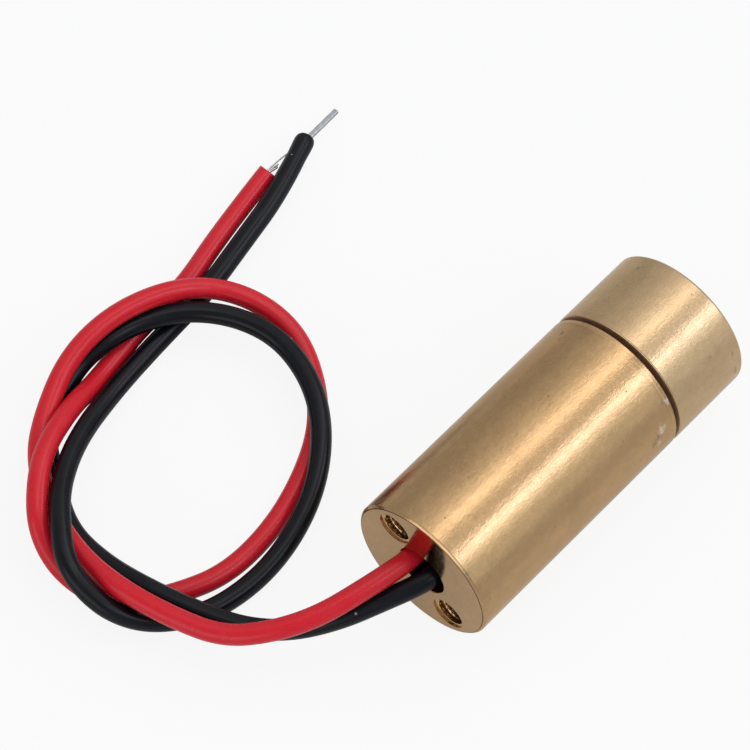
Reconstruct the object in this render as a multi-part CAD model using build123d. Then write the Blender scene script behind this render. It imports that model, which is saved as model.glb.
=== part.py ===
from build123d import *
import math
import os

# Laser diode module: a turned brass barrel with a screwed-in lens head, a diode and its driver
# board inside, and two loose leads. It lies on its side on the floor, z = 0, with its axis along X
# and the lens to +X. Sizes are in millimetres and angles in degrees.

# Laser diode can, which the rest is sized around
CAP_DIA = 3.55
CAP_WALL = 0.15
CAP_HEIGHT = 2.3
CAP_FLANGE_WIDTH = 0.425
CAP_FLANGE_THICKNESS = 0.15
WINDOW_OPENING_DIA = 1.6
WINDOW_CLEARANCE = 0.1
WINDOW_THICKNESS = 0.25
STEM_RIM = 0.6
STEM_THICKNESS = 1.2
STEM_NOTCH_WIDTH = 0.4
STEM_NOTCH_DEPTH = 0.4
STEM_CLEARANCE = 0.005
PIN_DIA = 0.4
PIN_CIRCLE_DIA = 2.0
PIN_RISE = 0.5
SEAL_DIA = 0.9
POST_WIDTH = 1.0
POST_DEPTH = 0.9
POST_HEIGHT = 1.35
CHIP_WIDTH = 0.25
CHIP_THICKNESS = 0.1
CHIP_LENGTH = 0.3
SENSOR_SIZE = 0.6
SENSOR_THICKNESS = 0.12

# Spring, lens and lens head
SPRING_WIRE = 0.35
SPRING_SIDES = 8
SPRING_TURNS = 4.5
SPRING_CLEARANCE = 0.125
SPRING_SIDE_GAP = 0.355
LENS_CLEARANCE = 0.03
LENS_EDGE = 1.0
LENS_SEAT = 0.9
LENS_FACE_GAP = 0.1
LENS_FRONT_RISE = 0.75
LENS_BACK_RISE = 0.2
LENS_BACK_GAP = 0.325
SPIGOT_WALL = 0.42
SPIGOT_SPARE = 0.9
RELIEF_WIDTH = 0.4
RELIEF_DEPTH = 0.25
HEAD_LENGTH = 5.35
FRONT_WALL = 2.6
FLARE_WIDTH = 0.9
FLARE_DEPTH = 0.9
FOCUS_GAP = 0.3

# Barrel
BARREL_WALL = 0.75
THREAD_DEPTH = 4.0
THREAD_CLEARANCE = 0.05
THREAD_LEAD_IN = 0.15
RIM_CHAMFER = 0.15
SEAM_CHAMFER = 0.06
WIRE_HOLE_GAP = 0.06
WIRE_HOLE_CHAMFER = 0.05
TAP_DIA = 2.0
TAP_DEPTH = 2.4
TAP_POINT = 0.6
TAP_FLOOR = 0.3
TAP_SINK = 0.04
TAP_COUNT = 2
TAP_ROLL = 50.0

# Driver board and what is soldered to it
BOARD_ROLL = 15.4
BOARD_SIDE_GAP = 0.19
BOARD_PIN_GAP = 0.01
BOARD_STEM_GAP = 0.95
BOARD_LEAD_GAP = 0.35
CHIP_PART_LENGTH = 1.6
CHIP_PART_WIDTH = 0.8
CHIP_PART_GAP = 0.7
CHIP_PART_INSET = 0.4
RESISTOR_HEIGHT = 0.45
CAPACITOR_HEIGHT = 0.8
TRANSISTOR_LENGTH = 2.9
TRANSISTOR_WIDTH = 1.3
TRANSISTOR_HEIGHT = 0.95
TRANSISTOR_STANDOFF = 0.05
LEG_WIDTH = 0.4
LEG_THICKNESS = 0.12
LEG_SPACING = 1.9
LEG_REACH = 0.55
LEG_FOOT = 0.25
PART_SPACING = 0.15
PIN_LAP = 1.2
JOINT_BASE_DIA = 1.0
JOINT_TOP_DIA = 0.5
JOINT_HEIGHT = 0.55

# Leads
LEAD_DIA = 1.2
LEAD_GAP = 0.3
LEAD_SHIFT = 0.15
LEAD_LAP = 1.6
LEAD_PROUD = 0.15
LEAD_THROAT_STATION = 1.4
CONDUCTOR_DIA = 0.38
TIP_STRAIGHT = 0.3
ARC_SHARE = 0.45
# Points of the red lead from just outside the wire hole to its cut end
RED_ROUTE = [
    (-10.95, 0.89, 4.76), (-11.85, 1.06, 4.75), (-13.7, 1.5, 4.6), (-16.25, 2.35, 4.1),
    (-18.5, 3.8, 3.6), (-20.25, 5.75, 3.1), (-21.1, 8.55, 2.9), (-21.65, 11.65, 2.75),
    (-21.4, 15.15, 1.9), (-20.45, 18.4, 1.65), (-18.7, 21.25, 1.8), (-16.6, 22.8, 1.9),
    (-13.25, 24.2, 2.55), (-10.05, 24.1, 3.3), (-6.75, 23.3, 2.95), (-4.2, 21.9, 2.2),
    (-2.85, 19.4, 1.75), (-2.7, 16.65, 1.2), (-3.9, 14.1, 0.75), (-6.0, 11.75, 0.65),
    (-9.1, 10.15, 0.65), (-12.7, 9.15, 0.65), (-16.35, 9.1, 0.65), (-19.15, 10.3, 0.65),
    (-21.15, 11.75, 0.65), (-22.15, 13.65, 0.65), (-22.45, 15.65, 1.1), (-22.15, 17.35, 2.05),
    (-21.1, 18.85, 2.92), (-18.6, 20.8, 3.15), (-15.25, 22.05, 2.25), (-12.85, 22.65, 1.1),
    (-10.7, 23.15, 0.65), (-7.8, 23.6, 0.65), (-4.7, 23.5, 0.65), (-0.2, 24.6, 0.65),
    (4.5, 25.45, 0.65),
]
# Points of the black lead from just outside the wire hole to its stripped end
BLACK_ROUTE = [
    (-11.0, -0.48, 4.2), (-13.0, 0.65, 3.55), (-15.05, 1.85, 2.8),
    (-17.05, 3.6, 2.0), (-18.65, 5.6, 1.95), (-19.65, 8.2, 2.0), (-20.45, 11.05, 2.1),
    (-20.55, 14.35, 1.05), (-20.2, 17.45, 0.65), (-18.55, 20.1, 0.65), (-16.85, 22.5, 0.65),
    (-14.9, 23.45, 0.75), (-12.55, 24.15, 1.25), (-10.55, 23.75, 2.0), (-8.45, 23.2, 2.0),
    (-6.2, 21.75, 2.15), (-4.5, 19.35, 2.05), (-3.95, 16.45, 2.05), (-4.9, 13.25, 2.05),
    (-6.8, 10.75, 1.9), (-9.6, 8.75, 1.65), (-12.7, 7.75, 1.1), (-15.8, 7.6, 0.65),
    (-19.0, 8.25, 0.65), (-21.35, 9.95, 0.8), (-22.65, 11.6, 1.75), (-23.0, 13.4, 2.65),
    (-22.55, 15.18, 3.1), (-21.25, 16.8, 3.2), (-19.35, 18.7, 2.95), (-16.3, 20.4, 2.25),
    (-12.15, 21.6, 1.1), (-8.1, 22.15, 0.7), (-4.05, 22.35, 0.8), (-0.25, 23.05, 0.95),
    (3.75, 23.8, 1.05), (7.55, 25.35, 0.85),
]
# Points of the stripped ends past the insulation
RED_TIP_ROUTE = [(5.35, 25.55, 0.53), (6.15, 25.5, 0.38)]
BLACK_TIP_ROUTE = [(8.4, 25.47, 0.78), (9.3, 25.42, 0.7), (10.3, 25.33, 0.6)]

# Radii from the can outwards
CAP_INNER_R = CAP_DIA / 2 - CAP_WALL
CAP_FLANGE_R = CAP_DIA / 2 + CAP_FLANGE_WIDTH
STEM_R = CAP_FLANGE_R + STEM_RIM
CORE_R = STEM_R + STEM_CLEARANCE
SPRING_INNER_R = CAP_FLANGE_R + SPRING_CLEARANCE
SPRING_OUTER_R = SPRING_INNER_R + SPRING_WIRE
POCKET_R = SPRING_OUTER_R + SPRING_SIDE_GAP
LENS_R = POCKET_R - LENS_CLEARANCE
APERTURE_R = LENS_R - LENS_SEAT
SPIGOT_R = POCKET_R + SPIGOT_WALL + RELIEF_DEPTH
THREAD_R = SPIGOT_R + THREAD_CLEARANCE
BODY_R = THREAD_R + BARREL_WALL
PIN_R = PIN_CIRCLE_DIA / 2
LEAD_OFFSET = (LEAD_DIA + LEAD_GAP) / 2
WIRE_HOLE_R = LEAD_OFFSET + LEAD_SHIFT + LEAD_DIA / 2 + WIRE_HOLE_GAP
TAP_CIRCLE_R = (WIRE_HOLE_R + BODY_R) / 2

# Places along the board from its rear end
CHIP_PART_PLACE = CHIP_PART_INSET + CHIP_PART_LENGTH / 2
LEG_END_PLACE = CHIP_PART_INSET + CHIP_PART_LENGTH + PART_SPACING
TRANSISTOR_PLACE = LEG_END_PLACE + LEG_REACH + TRANSISTOR_WIDTH / 2
PIN_END_PLACE = TRANSISTOR_PLACE + TRANSISTOR_WIDTH / 2 + LEG_REACH + PART_SPACING
BOARD_LENGTH = PIN_END_PLACE + PIN_LAP

# Stations, which are distances from the rear face
REAR_WALL = TAP_DEPTH + TAP_POINT + TAP_FLOOR
LEAD_END_STATION = REAR_WALL + LEAD_PROUD
BOARD_STATION = LEAD_END_STATION + BOARD_LEAD_GAP
STEM_STATION = BOARD_STATION + BOARD_LENGTH + BOARD_STEM_GAP
THREAD_STATION = STEM_STATION + STEM_THICKNESS
BARREL_LENGTH = THREAD_STATION + THREAD_DEPTH
HEAD_STATION = BARREL_LENGTH + FOCUS_GAP
SPIGOT_STATION = THREAD_STATION + SPIGOT_SPARE
OVERALL_LENGTH = HEAD_STATION + HEAD_LENGTH
LENS_STATION = OVERALL_LENGTH - FRONT_WALL
LENS_BACK_STATION = LENS_STATION - LENS_EDGE

# The board lies between the pins, its faces on either side
BOARD_TOP = -PIN_DIA / 2 - BOARD_PIN_GAP
BOARD_BOTTOM = PIN_DIA / 2 + BOARD_PIN_GAP - PIN_R
BOARD_WIDTH = 2 * (math.sqrt(CORE_R**2 - BOARD_BOTTOM**2) - BOARD_SIDE_GAP)

# Frames at the rear face: X across, Y up, Z along the axis; the board's is rolled about the axis
axis_frame = Plane((-OVERALL_LENGTH / 2, 0, BODY_R), x_dir=(0, 1, 0), z_dir=(1, 0, 0))
roll = math.radians(BOARD_ROLL)
board_frame = Plane(axis_frame.origin, x_dir=(0, math.cos(roll), math.sin(roll)), z_dir=(1, 0, 0))


def turned(outline):
    """Revolve a closed (radius, station) outline about the axis."""
    return revolve(Plane.XZ * make_face(Polyline(*outline, close=True)), Axis.Z)


def block(width, height, length, center):
    """A box by its size across, up and along the axis, and its centre."""
    return Pos(*center) * Box(width, height, length)


def rod(radius, start, end, across=0.0, up=0.0):
    """A round rod along the axis between two stations."""
    return Pos(across, up, (start + end) / 2) * Cylinder(radius, end - start)


def make_barrel():
    shell = turned([
        (WIRE_HOLE_R + WIRE_HOLE_CHAMFER, 0),
        (BODY_R - RIM_CHAMFER, 0),
        (BODY_R, RIM_CHAMFER),
        (BODY_R, BARREL_LENGTH - SEAM_CHAMFER),
        (BODY_R - SEAM_CHAMFER, BARREL_LENGTH),
        (THREAD_R + THREAD_LEAD_IN, BARREL_LENGTH),
        (THREAD_R, BARREL_LENGTH - THREAD_LEAD_IN),
        (THREAD_R, THREAD_STATION),
        (CORE_R, THREAD_STATION),
        (CORE_R, REAR_WALL),
        (WIRE_HOLE_R, REAR_WALL),
        (WIRE_HOLE_R, WIRE_HOLE_CHAMFER),
    ])
    tap_r = TAP_DIA / 2
    tapped_hole = turned([
        (0, 0),
        (tap_r + TAP_SINK, 0),
        (tap_r, TAP_SINK),
        (tap_r, TAP_DEPTH),
        (0, TAP_DEPTH + TAP_POINT),
    ])
    places = PolarLocations(TAP_CIRCLE_R, TAP_COUNT, start_angle=TAP_ROLL)
    return axis_frame * (shell - [place * tapped_hole for place in places])


def make_lens_head():
    relief_r = SPIGOT_R - RELIEF_DEPTH
    return axis_frame * turned([
        (POCKET_R, SPIGOT_STATION),
        (SPIGOT_R - THREAD_LEAD_IN, SPIGOT_STATION),
        (SPIGOT_R, SPIGOT_STATION + THREAD_LEAD_IN),
        (SPIGOT_R, HEAD_STATION - RELIEF_WIDTH),
        (relief_r, HEAD_STATION - RELIEF_WIDTH),
        (relief_r, HEAD_STATION),
        (BODY_R - SEAM_CHAMFER, HEAD_STATION),
        (BODY_R, HEAD_STATION + SEAM_CHAMFER),
        (BODY_R, OVERALL_LENGTH - RIM_CHAMFER),
        (BODY_R - RIM_CHAMFER, OVERALL_LENGTH),
        (APERTURE_R + FLARE_WIDTH, OVERALL_LENGTH),
        (APERTURE_R, OVERALL_LENGTH - FLARE_DEPTH),
        (APERTURE_R, LENS_STATION),
        (POCKET_R, LENS_STATION),
    ])


def make_lens():
    """A disc with a domed face through the head's aperture and a flatter dome inside the spring."""
    back_tip = (0, LENS_BACK_STATION - LENS_BACK_RISE)
    back = (SPRING_INNER_R - LENS_BACK_GAP, LENS_BACK_STATION)
    front = (APERTURE_R - LENS_FACE_GAP, LENS_STATION)
    front_tip = (0, LENS_STATION + LENS_FRONT_RISE)
    outline = [
        TangentArc(back_tip, back, tangent=(1, 0)),
        Polyline(back, (LENS_R, LENS_BACK_STATION), (LENS_R, LENS_STATION), front),
        TangentArc(front_tip, front, tangent=(1, 0)),
        Line(front_tip, back_tip),
    ]
    return axis_frame * revolve(Plane.XZ * make_face(outline), Axis.Z)


def make_spring():
    """A coil spring between the stem and the lens, its round wire drawn with flats."""
    wire_r = SPRING_WIRE / 2
    start = THREAD_STATION + wire_r
    height = LENS_BACK_STATION - wire_r - start
    helix = Helix(height / SPRING_TURNS, height, SPRING_INNER_R + wire_r, center=(0, 0, start))
    section = Plane(helix @ 0, z_dir=helix % 0) * RegularPolygon(wire_r, SPRING_SIDES)
    return axis_frame * sweep(section, path=helix, is_frenet=True)


def insulated_pins():
    """Places across the stem of the two pins that pass through it."""
    return [PIN_R, -PIN_R]


def make_stem():
    stem = rod(STEM_R, STEM_STATION, THREAD_STATION)
    for across in insulated_pins():
        stem -= rod(SEAL_DIA / 2, STEM_STATION, THREAD_STATION, across)
    center = (STEM_R, 0, (STEM_STATION + THREAD_STATION) / 2)
    notch = block(2 * STEM_NOTCH_DEPTH, STEM_NOTCH_WIDTH, STEM_THICKNESS, center)
    for angle in (0, 90, 180):
        stem -= Rot(0, 0, angle) * notch
    return board_frame * stem


def make_cap():
    top = THREAD_STATION + CAP_HEIGHT
    flange_top = THREAD_STATION + CAP_FLANGE_THICKNESS
    opening_r = WINDOW_OPENING_DIA / 2
    return board_frame * turned([
        (CAP_INNER_R, THREAD_STATION),
        (CAP_FLANGE_R, THREAD_STATION),
        (CAP_FLANGE_R, flange_top),
        (CAP_DIA / 2, flange_top),
        (CAP_DIA / 2, top),
        (opening_r, top),
        (opening_r, top - CAP_WALL),
        (CAP_INNER_R, top - CAP_WALL),
    ])


def make_window():
    top = THREAD_STATION + CAP_HEIGHT - CAP_WALL
    return board_frame * rod(CAP_INNER_R - WINDOW_CLEARANCE, top - WINDOW_THICKNESS, top)


def make_heat_post():
    center = (0, -(CHIP_THICKNESS + POST_DEPTH) / 2, THREAD_STATION + POST_HEIGHT / 2)
    return board_frame * block(POST_WIDTH, POST_DEPTH, POST_HEIGHT, center)


def make_chip():
    center = (0, 0, THREAD_STATION + POST_HEIGHT - CHIP_LENGTH / 2)
    return board_frame * block(CHIP_WIDTH, CHIP_THICKNESS, CHIP_LENGTH, center)


def make_photodiode():
    center = (0, SENSOR_SIZE / 2 + CHIP_THICKNESS, THREAD_STATION + SENSOR_THICKNESS / 2)
    return board_frame * block(SENSOR_SIZE, SENSOR_SIZE, SENSOR_THICKNESS, center)


def make_pins():
    """Two pins through the stem above the board, and one on the stem's back below it."""
    back = BOARD_STATION + PIN_END_PLACE
    pins = [rod(PIN_DIA / 2, back, STEM_STATION, up=-PIN_R)]
    for across in insulated_pins():
        pins.append(rod(PIN_DIA / 2, back, THREAD_STATION + PIN_RISE, across))
    return [board_frame * pin for pin in pins]


def make_seals():
    bead = rod(SEAL_DIA / 2, STEM_STATION, THREAD_STATION)
    bead -= rod(PIN_DIA / 2, STEM_STATION, THREAD_STATION)
    return [board_frame * Pos(across, 0, 0) * bead for across in insulated_pins()]


def make_board():
    center = (0, (BOARD_TOP + BOARD_BOTTOM) / 2, BOARD_STATION + BOARD_LENGTH / 2)
    return board_frame * block(BOARD_WIDTH, BOARD_TOP - BOARD_BOTTOM, BOARD_LENGTH, center)


def board_sides():
    """Frames on the board's two faces at its rear end, Y away from the board and Z along the axis."""
    top = Pos(0, BOARD_TOP, BOARD_STATION)
    bottom = Pos(0, BOARD_BOTTOM, BOARD_STATION) * Rot(0, 0, 180)
    return [board_frame * side for side in (top, bottom)]


def make_transistors():
    center = (0, TRANSISTOR_STANDOFF + TRANSISTOR_HEIGHT / 2, TRANSISTOR_PLACE)
    body = block(TRANSISTOR_LENGTH, TRANSISTOR_HEIGHT, TRANSISTOR_WIDTH, center)
    return [side * body for side in board_sides()]


def make_legs():
    """Three bent legs on each transistor, two towards the lens and one behind."""
    start = TRANSISTOR_WIDTH / 2
    middle = TRANSISTOR_STANDOFF + TRANSISTOR_HEIGHT / 2
    knee = start + LEG_REACH - LEG_FOOT
    outline = [
        (start, middle),
        (knee, middle),
        (knee, LEG_THICKNESS),
        (start + LEG_REACH, LEG_THICKNESS),
        (start + LEG_REACH, 0),
        (knee - LEG_THICKNESS, 0),
        (knee - LEG_THICKNESS, middle - LEG_THICKNESS),
        (start, middle - LEG_THICKNESS),
    ]
    face = Plane.ZY * make_face(Polyline(*outline, close=True))
    leg = extrude(face, LEG_WIDTH / 2, both=True)
    home = Pos(0, 0, TRANSISTOR_PLACE)
    legs = [home * Pos(across, 0, 0) * leg for across in (-LEG_SPACING / 2, LEG_SPACING / 2)]
    legs.append(home * Rot(0, 180, 0) * leg)
    return [side * leg for side in board_sides() for leg in legs]


def chip_part(height, column):
    """A chip resistor or capacitor on the board's lower face, in one of three columns."""
    across = column * (CHIP_PART_WIDTH + CHIP_PART_GAP)
    part = block(CHIP_PART_WIDTH, height, CHIP_PART_LENGTH, (across, height / 2, CHIP_PART_PLACE))
    return board_sides()[1] * part


def make_resistors():
    return [chip_part(RESISTOR_HEIGHT, column) for column in (-1, 0)]


def make_capacitor():
    return chip_part(CAPACITOR_HEIGHT, 1)


def make_solder(wires):
    """A cone of solder on the board round each pin and each lead's bare end."""
    base = (Align.CENTER, Align.CENTER, Align.MIN)
    cone = Rot(-90, 0, 0) * Cone(JOINT_BASE_DIA / 2, JOINT_TOP_DIA / 2, JOINT_HEIGHT, align=base)
    top, bottom = board_sides()
    pin_place = BOARD_LENGTH - PIN_LAP / 2
    joints = [bottom * Pos(0, 0, pin_place) * cone]
    for across in insulated_pins():
        joints.append(top * Pos(across, 0, pin_place) * cone)
    for across in lead_places():
        joints.append(top * Pos(across, 0, LEAD_LAP / 2) * cone)
    return [joint - wires for joint in joints]


def tube(name, points, dia):
    """A round tube along straight runs joined by the largest tangent arcs."""
    points = [Vector(*point) for point in points]
    radii = []
    for before, corner, after in zip(points, points[1:], points[2:]):
        run_in = corner - before
        run_out = after - corner
        half_turn = math.radians(run_in.get_angle(run_out)) / 2
        radii.append(ARC_SHARE * min(run_in.length, run_out.length) / math.tan(half_turn))
    path = FilletPolyline(*points, radius=radii)
    section = Plane(path @ 0, z_dir=path % 0) * Circle(dia / 2)
    solid = sweep(section, path=path)
    share = solid.volume / (math.pi * dia**2 / 4 * path.length)
    print(f"{name}: {path.length:.1f} mm long, volume {share:.4f} of section times length")
    print("  radii", " ".join(f"{radius:.1f}" for radius in radii))
    return solid


def lead_places():
    """Places of the red and the black lead across the wire hole; the pair sits off its middle."""
    return [LEAD_SHIFT + LEAD_OFFSET, LEAD_SHIFT - LEAD_OFFSET]


def make_lead(name, across, route):
    """A lead from its cut end inside the barrel, straight through the wire hole, then along its route."""
    stations = (LEAD_END_STATION, LEAD_THROAT_STATION)
    places = [Vector(across, 0, station) for station in stations]
    inner = [tuple(board_frame.from_local_coords(place)) for place in places]
    return tube(name, inner + route, LEAD_DIA)


def make_tip(name, route, tip_route):
    """A stripped end that leaves the insulation straight, then bends."""
    end = Vector(*route[-1])
    bend = end + (end - Vector(*route[-2])).normalized() * TIP_STRAIGHT
    return tube(name, [tuple(end), tuple(bend)] + tip_route, CONDUCTOR_DIA)


def make_core(across):
    end = BOARD_STATION + LEAD_LAP
    return board_frame * rod(CONDUCTOR_DIA / 2, LEAD_END_STATION, end, across)


pins = make_pins()
red_place, black_place = lead_places()
red_core = make_core(red_place)
black_core = make_core(black_place)

nodes = {
    "barrel": make_barrel(),
    "lens_head": make_lens_head(),
    "collimating_lens": make_lens(),
    "lens_spring": make_spring(),
    "diode_stem": make_stem(),
    "diode_cap": make_cap(),
    "diode_window": make_window(),
    "diode_heat_post": make_heat_post(),
    "laser_chip": make_chip(),
    "monitor_photodiode": make_photodiode(),
    "diode_pins": Compound(children=pins),
    "pin_seals": Compound(children=make_seals()),
    "driver_board": make_board(),
    "driver_transistors": Compound(children=make_transistors()),
    "transistor_legs": Compound(children=make_legs()),
    "board_resistors": Compound(children=make_resistors()),
    "board_capacitor": make_capacitor(),
    "solder_joints": Compound(children=make_solder(pins + [red_core, black_core])),
    "red_lead": make_lead("red_lead", red_place, RED_ROUTE),
    "red_lead_core": red_core,
    "red_lead_tip": make_tip("red_lead_tip", RED_ROUTE, RED_TIP_ROUTE),
    "black_lead": make_lead("black_lead", black_place, BLACK_ROUTE),
    "black_lead_core": black_core,
    "black_lead_tip": make_tip("black_lead_tip", BLACK_ROUTE, BLACK_TIP_ROUTE),
}

os.makedirs("parts", exist_ok=True)
for name, shape in nodes.items():
    export_step(shape, f"parts/{name}.step")
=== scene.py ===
"""Laser diode module: a turned brass body, the lens and diode inside it, and two knotted leads."""

import math

import bmesh
import bpy
from mathutils import Matrix, Vector


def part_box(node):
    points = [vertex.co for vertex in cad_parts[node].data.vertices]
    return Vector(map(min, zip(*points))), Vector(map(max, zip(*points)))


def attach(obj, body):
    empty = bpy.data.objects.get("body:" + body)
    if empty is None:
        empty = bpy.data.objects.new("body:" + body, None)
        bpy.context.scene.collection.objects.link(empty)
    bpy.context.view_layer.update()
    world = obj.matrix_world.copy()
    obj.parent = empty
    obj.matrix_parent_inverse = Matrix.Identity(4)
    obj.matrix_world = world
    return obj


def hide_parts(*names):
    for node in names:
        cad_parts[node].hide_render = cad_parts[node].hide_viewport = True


bl_info = {
    "name": "Laser Diode Module",
    "version": (1, 0, 0),
    "blender": (4, 5, 0),
    "location": "View3D > Sidebar > Laser Module",
    "description": "Builds and finishes a brass laser diode module on its CAD frame",
    "category": "Object",
}

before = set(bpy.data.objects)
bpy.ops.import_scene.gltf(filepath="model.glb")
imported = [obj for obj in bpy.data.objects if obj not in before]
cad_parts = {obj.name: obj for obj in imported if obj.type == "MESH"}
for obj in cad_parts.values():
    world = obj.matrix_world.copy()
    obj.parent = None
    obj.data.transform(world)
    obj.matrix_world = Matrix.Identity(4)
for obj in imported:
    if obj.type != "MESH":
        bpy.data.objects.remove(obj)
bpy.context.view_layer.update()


def placed(value):
    """A place read from the frame, to the micrometre."""
    return round(float(value), 6)


# Places of the body, from the frame: stations are counted from the rear face along +X
REAR_X = placed(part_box("barrel")[0][0])
BODY_RADIUS = placed(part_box("barrel")[1][1])
AXIS_Z = placed(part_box("barrel")[1][2]) - BODY_RADIUS
BARREL_LENGTH = placed(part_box("barrel")[1][0]) - REAR_X
OVERALL_LENGTH = placed(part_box("lens_head")[1][0]) - REAR_X
SPIGOT_STATION = placed(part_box("lens_head")[0][0]) - REAR_X
LENS_LOW, LENS_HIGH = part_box("collimating_lens")
SPRING_LOW, SPRING_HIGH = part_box("lens_spring")

# Routes of the leads in metres, from inside the wire hole to the cut ends
RED_ROUTE = [
    (-0.00730, 0.00087, 0.00474), (-0.00935, 0.00087, 0.00474),
    (-0.01095, 0.00089, 0.00476), (-0.01185, 0.00106, 0.00475), (-0.01370, 0.00150, 0.00460),
    (-0.01625, 0.00235, 0.00410), (-0.01850, 0.00380, 0.00360), (-0.02025, 0.00575, 0.00310),
    (-0.02110, 0.00855, 0.00290), (-0.02165, 0.01165, 0.00275), (-0.02140, 0.01515, 0.00190),
    (-0.02045, 0.01840, 0.00165), (-0.01870, 0.02125, 0.00180), (-0.01660, 0.02280, 0.00190),
    (-0.01325, 0.02420, 0.00255), (-0.01005, 0.02410, 0.00330), (-0.00675, 0.02330, 0.00295),
    (-0.00420, 0.02190, 0.00220), (-0.00285, 0.01940, 0.00175), (-0.00270, 0.01665, 0.00120),
    (-0.00390, 0.01410, 0.00075), (-0.00600, 0.01175, 0.00065), (-0.00910, 0.01015, 0.00065),
    (-0.01270, 0.00915, 0.00065), (-0.01635, 0.00910, 0.00065), (-0.01915, 0.01030, 0.00065),
    (-0.02115, 0.01175, 0.00065), (-0.02215, 0.01365, 0.00065), (-0.02245, 0.01565, 0.00110),
    (-0.02215, 0.01735, 0.00205), (-0.02110, 0.01885, 0.00292), (-0.01860, 0.02080, 0.00315),
    (-0.01525, 0.02205, 0.00225), (-0.01285, 0.02265, 0.00110), (-0.01070, 0.02315, 0.00065),
    (-0.00780, 0.02360, 0.00065), (-0.00470, 0.02350, 0.00065), (-0.00020, 0.02460, 0.00065),
    (0.00450, 0.02537, 0.00065),
]
BLACK_ROUTE = [
    (-0.00730, -0.00058, 0.00434), (-0.00935, -0.00058, 0.00434),
    (-0.01100, -0.00048, 0.00420), (-0.01300, 0.00065, 0.00355),
    (-0.01505, 0.00185, 0.00280), (-0.01705, 0.00360, 0.00200), (-0.01865, 0.00560, 0.00195),
    (-0.01965, 0.00820, 0.00200), (-0.02045, 0.01105, 0.00210), (-0.02055, 0.01435, 0.00105),
    (-0.02020, 0.01745, 0.00065), (-0.01855, 0.02010, 0.00065), (-0.01685, 0.02250, 0.00065),
    (-0.01490, 0.02345, 0.00075), (-0.01255, 0.02415, 0.00125), (-0.01055, 0.02375, 0.00200),
    (-0.00845, 0.02320, 0.00200), (-0.00620, 0.02175, 0.00215), (-0.00450, 0.01935, 0.00205),
    (-0.00395, 0.01645, 0.00205), (-0.00490, 0.01325, 0.00205), (-0.00680, 0.01075, 0.00190),
    (-0.00960, 0.00875, 0.00165), (-0.01270, 0.00775, 0.00110), (-0.01580, 0.00760, 0.00065),
    (-0.01900, 0.00825, 0.00065), (-0.02135, 0.00995, 0.00080), (-0.02265, 0.01160, 0.00175),
    (-0.02300, 0.01340, 0.00265), (-0.02255, 0.01518, 0.00310), (-0.02125, 0.01680, 0.00320),
    (-0.01935, 0.01870, 0.00295), (-0.01630, 0.02040, 0.00225), (-0.01215, 0.02160, 0.00110),
    (-0.00810, 0.02215, 0.00070), (-0.00405, 0.02235, 0.00080), (-0.00025, 0.02305, 0.00095),
    (0.00375, 0.02380, 0.00105), (0.00763, 0.02529, 0.00085),
]
# Stripped ends: the black lead's tinned bundle, and the red lead's strands past its cut
BLACK_TIP_ROUTE = [
    (0.00740, 0.02515, 0.00084), (0.00795, 0.02519, 0.00080),
    (0.00912, 0.02528, 0.00070), (0.01028, 0.02537, 0.00060),
]
RED_STRAND_ROUTES = [
    [
        (0.00405, 0.02540, 0.00074), (0.00465, 0.02543, 0.00078),
        (0.00535, 0.02546, 0.00070), (0.00612, 0.02546, 0.00060),
    ],
    [(0.00405, 0.02537, 0.00070), (0.00468, 0.02536, 0.00072), (0.00525, 0.02533, 0.00062)],
    [(0.00405, 0.02534, 0.00066), (0.00470, 0.02532, 0.00066), (0.00512, 0.02526, 0.00055)],
    [(0.00405, 0.02538, 0.00062), (0.00466, 0.02539, 0.00060), (0.00520, 0.02536, 0.00048)],
    [(0.00405, 0.02530, 0.00072), (0.00464, 0.02528, 0.00074), (0.00492, 0.02520, 0.00069)],
    [(0.00405, 0.02534, 0.00058), (0.00468, 0.02533, 0.00056), (0.00508, 0.02528, 0.00046)],
]
# Rings of the leads' ends, from the tube outwards: share of the radius, distance back from the end
INNER_END = ((1.0, 0.0003), (1.0, 0.0), (0.45, 0.0), (0.35, 0.0002))
RED_END = ((1.0, 0.0005), (1.0, 0.00003), (0.96, 0.0), (0.5, 0.0), (0.45, 0.0003))
BLACK_END = (
    (1.0, 0.0006), (0.995, 0.00042), (0.965, 0.00028), (0.91, 0.00017), (0.82, 0.00009), (0.68, 0.00003),
    (0.45, 0.0),
)
# The black lead narrows a little before its end: share, middle and half width of the neck
BLACK_NECK = (0.04, 0.0016, 0.0006)
# The tinned bundle: rings of its end, then the strands, depth and length of its twist
BUNDLE_END = ((1.0, 0.0002), (1.0, 0.00003), (0.9, 0.0))
BUNDLE_TWIST = (7, 0.015, 0.0009)
# Marks seen on the surfaces: place, size, colour, strength
BARREL_MARKS = (
    ((0.00394, 0.00293, 0.00792), (0.00022, 0.00013, 0.0001), (0.13, 0.085, 0.045), 0.85),
    ((0.00346, 0.00274, 0.00807), (0.00016, 0.0001, 0.0001), (0.2, 0.13, 0.07), 0.6),
    ((0.00490, -0.00373, 0.00702), (0.00018, 0.00026, 0.00034), (0.82, 0.77, 0.72), 0.7),
    ((0.00463, -0.00365, 0.00714), (0.00014, 0.0002, 0.0002), (0.3, 0.22, 0.16), 0.45),
    ((0.00394, -0.00432, 0.00577), (0.0003, 0.0003, 0.00045), (0.78, 0.68, 0.54), 0.6),
    ((0.00356, -0.00439, 0.00550), (0.00022, 0.0003, 0.0003), (0.2, 0.16, 0.12), 0.6),
    ((0.00324, -0.00444, 0.00525), (0.00022, 0.0003, 0.0003), (0.2, 0.16, 0.12), 0.6),
    ((0.00363, -0.00446, 0.00507), (0.0002, 0.0003, 0.0003), (0.75, 0.66, 0.55), 0.45),
    ((-0.01070, -0.00307, 0.00779), (0.0002, 0.0003, 0.0003), (0.2, 0.22, 0.15), 0.6),
)
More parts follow.
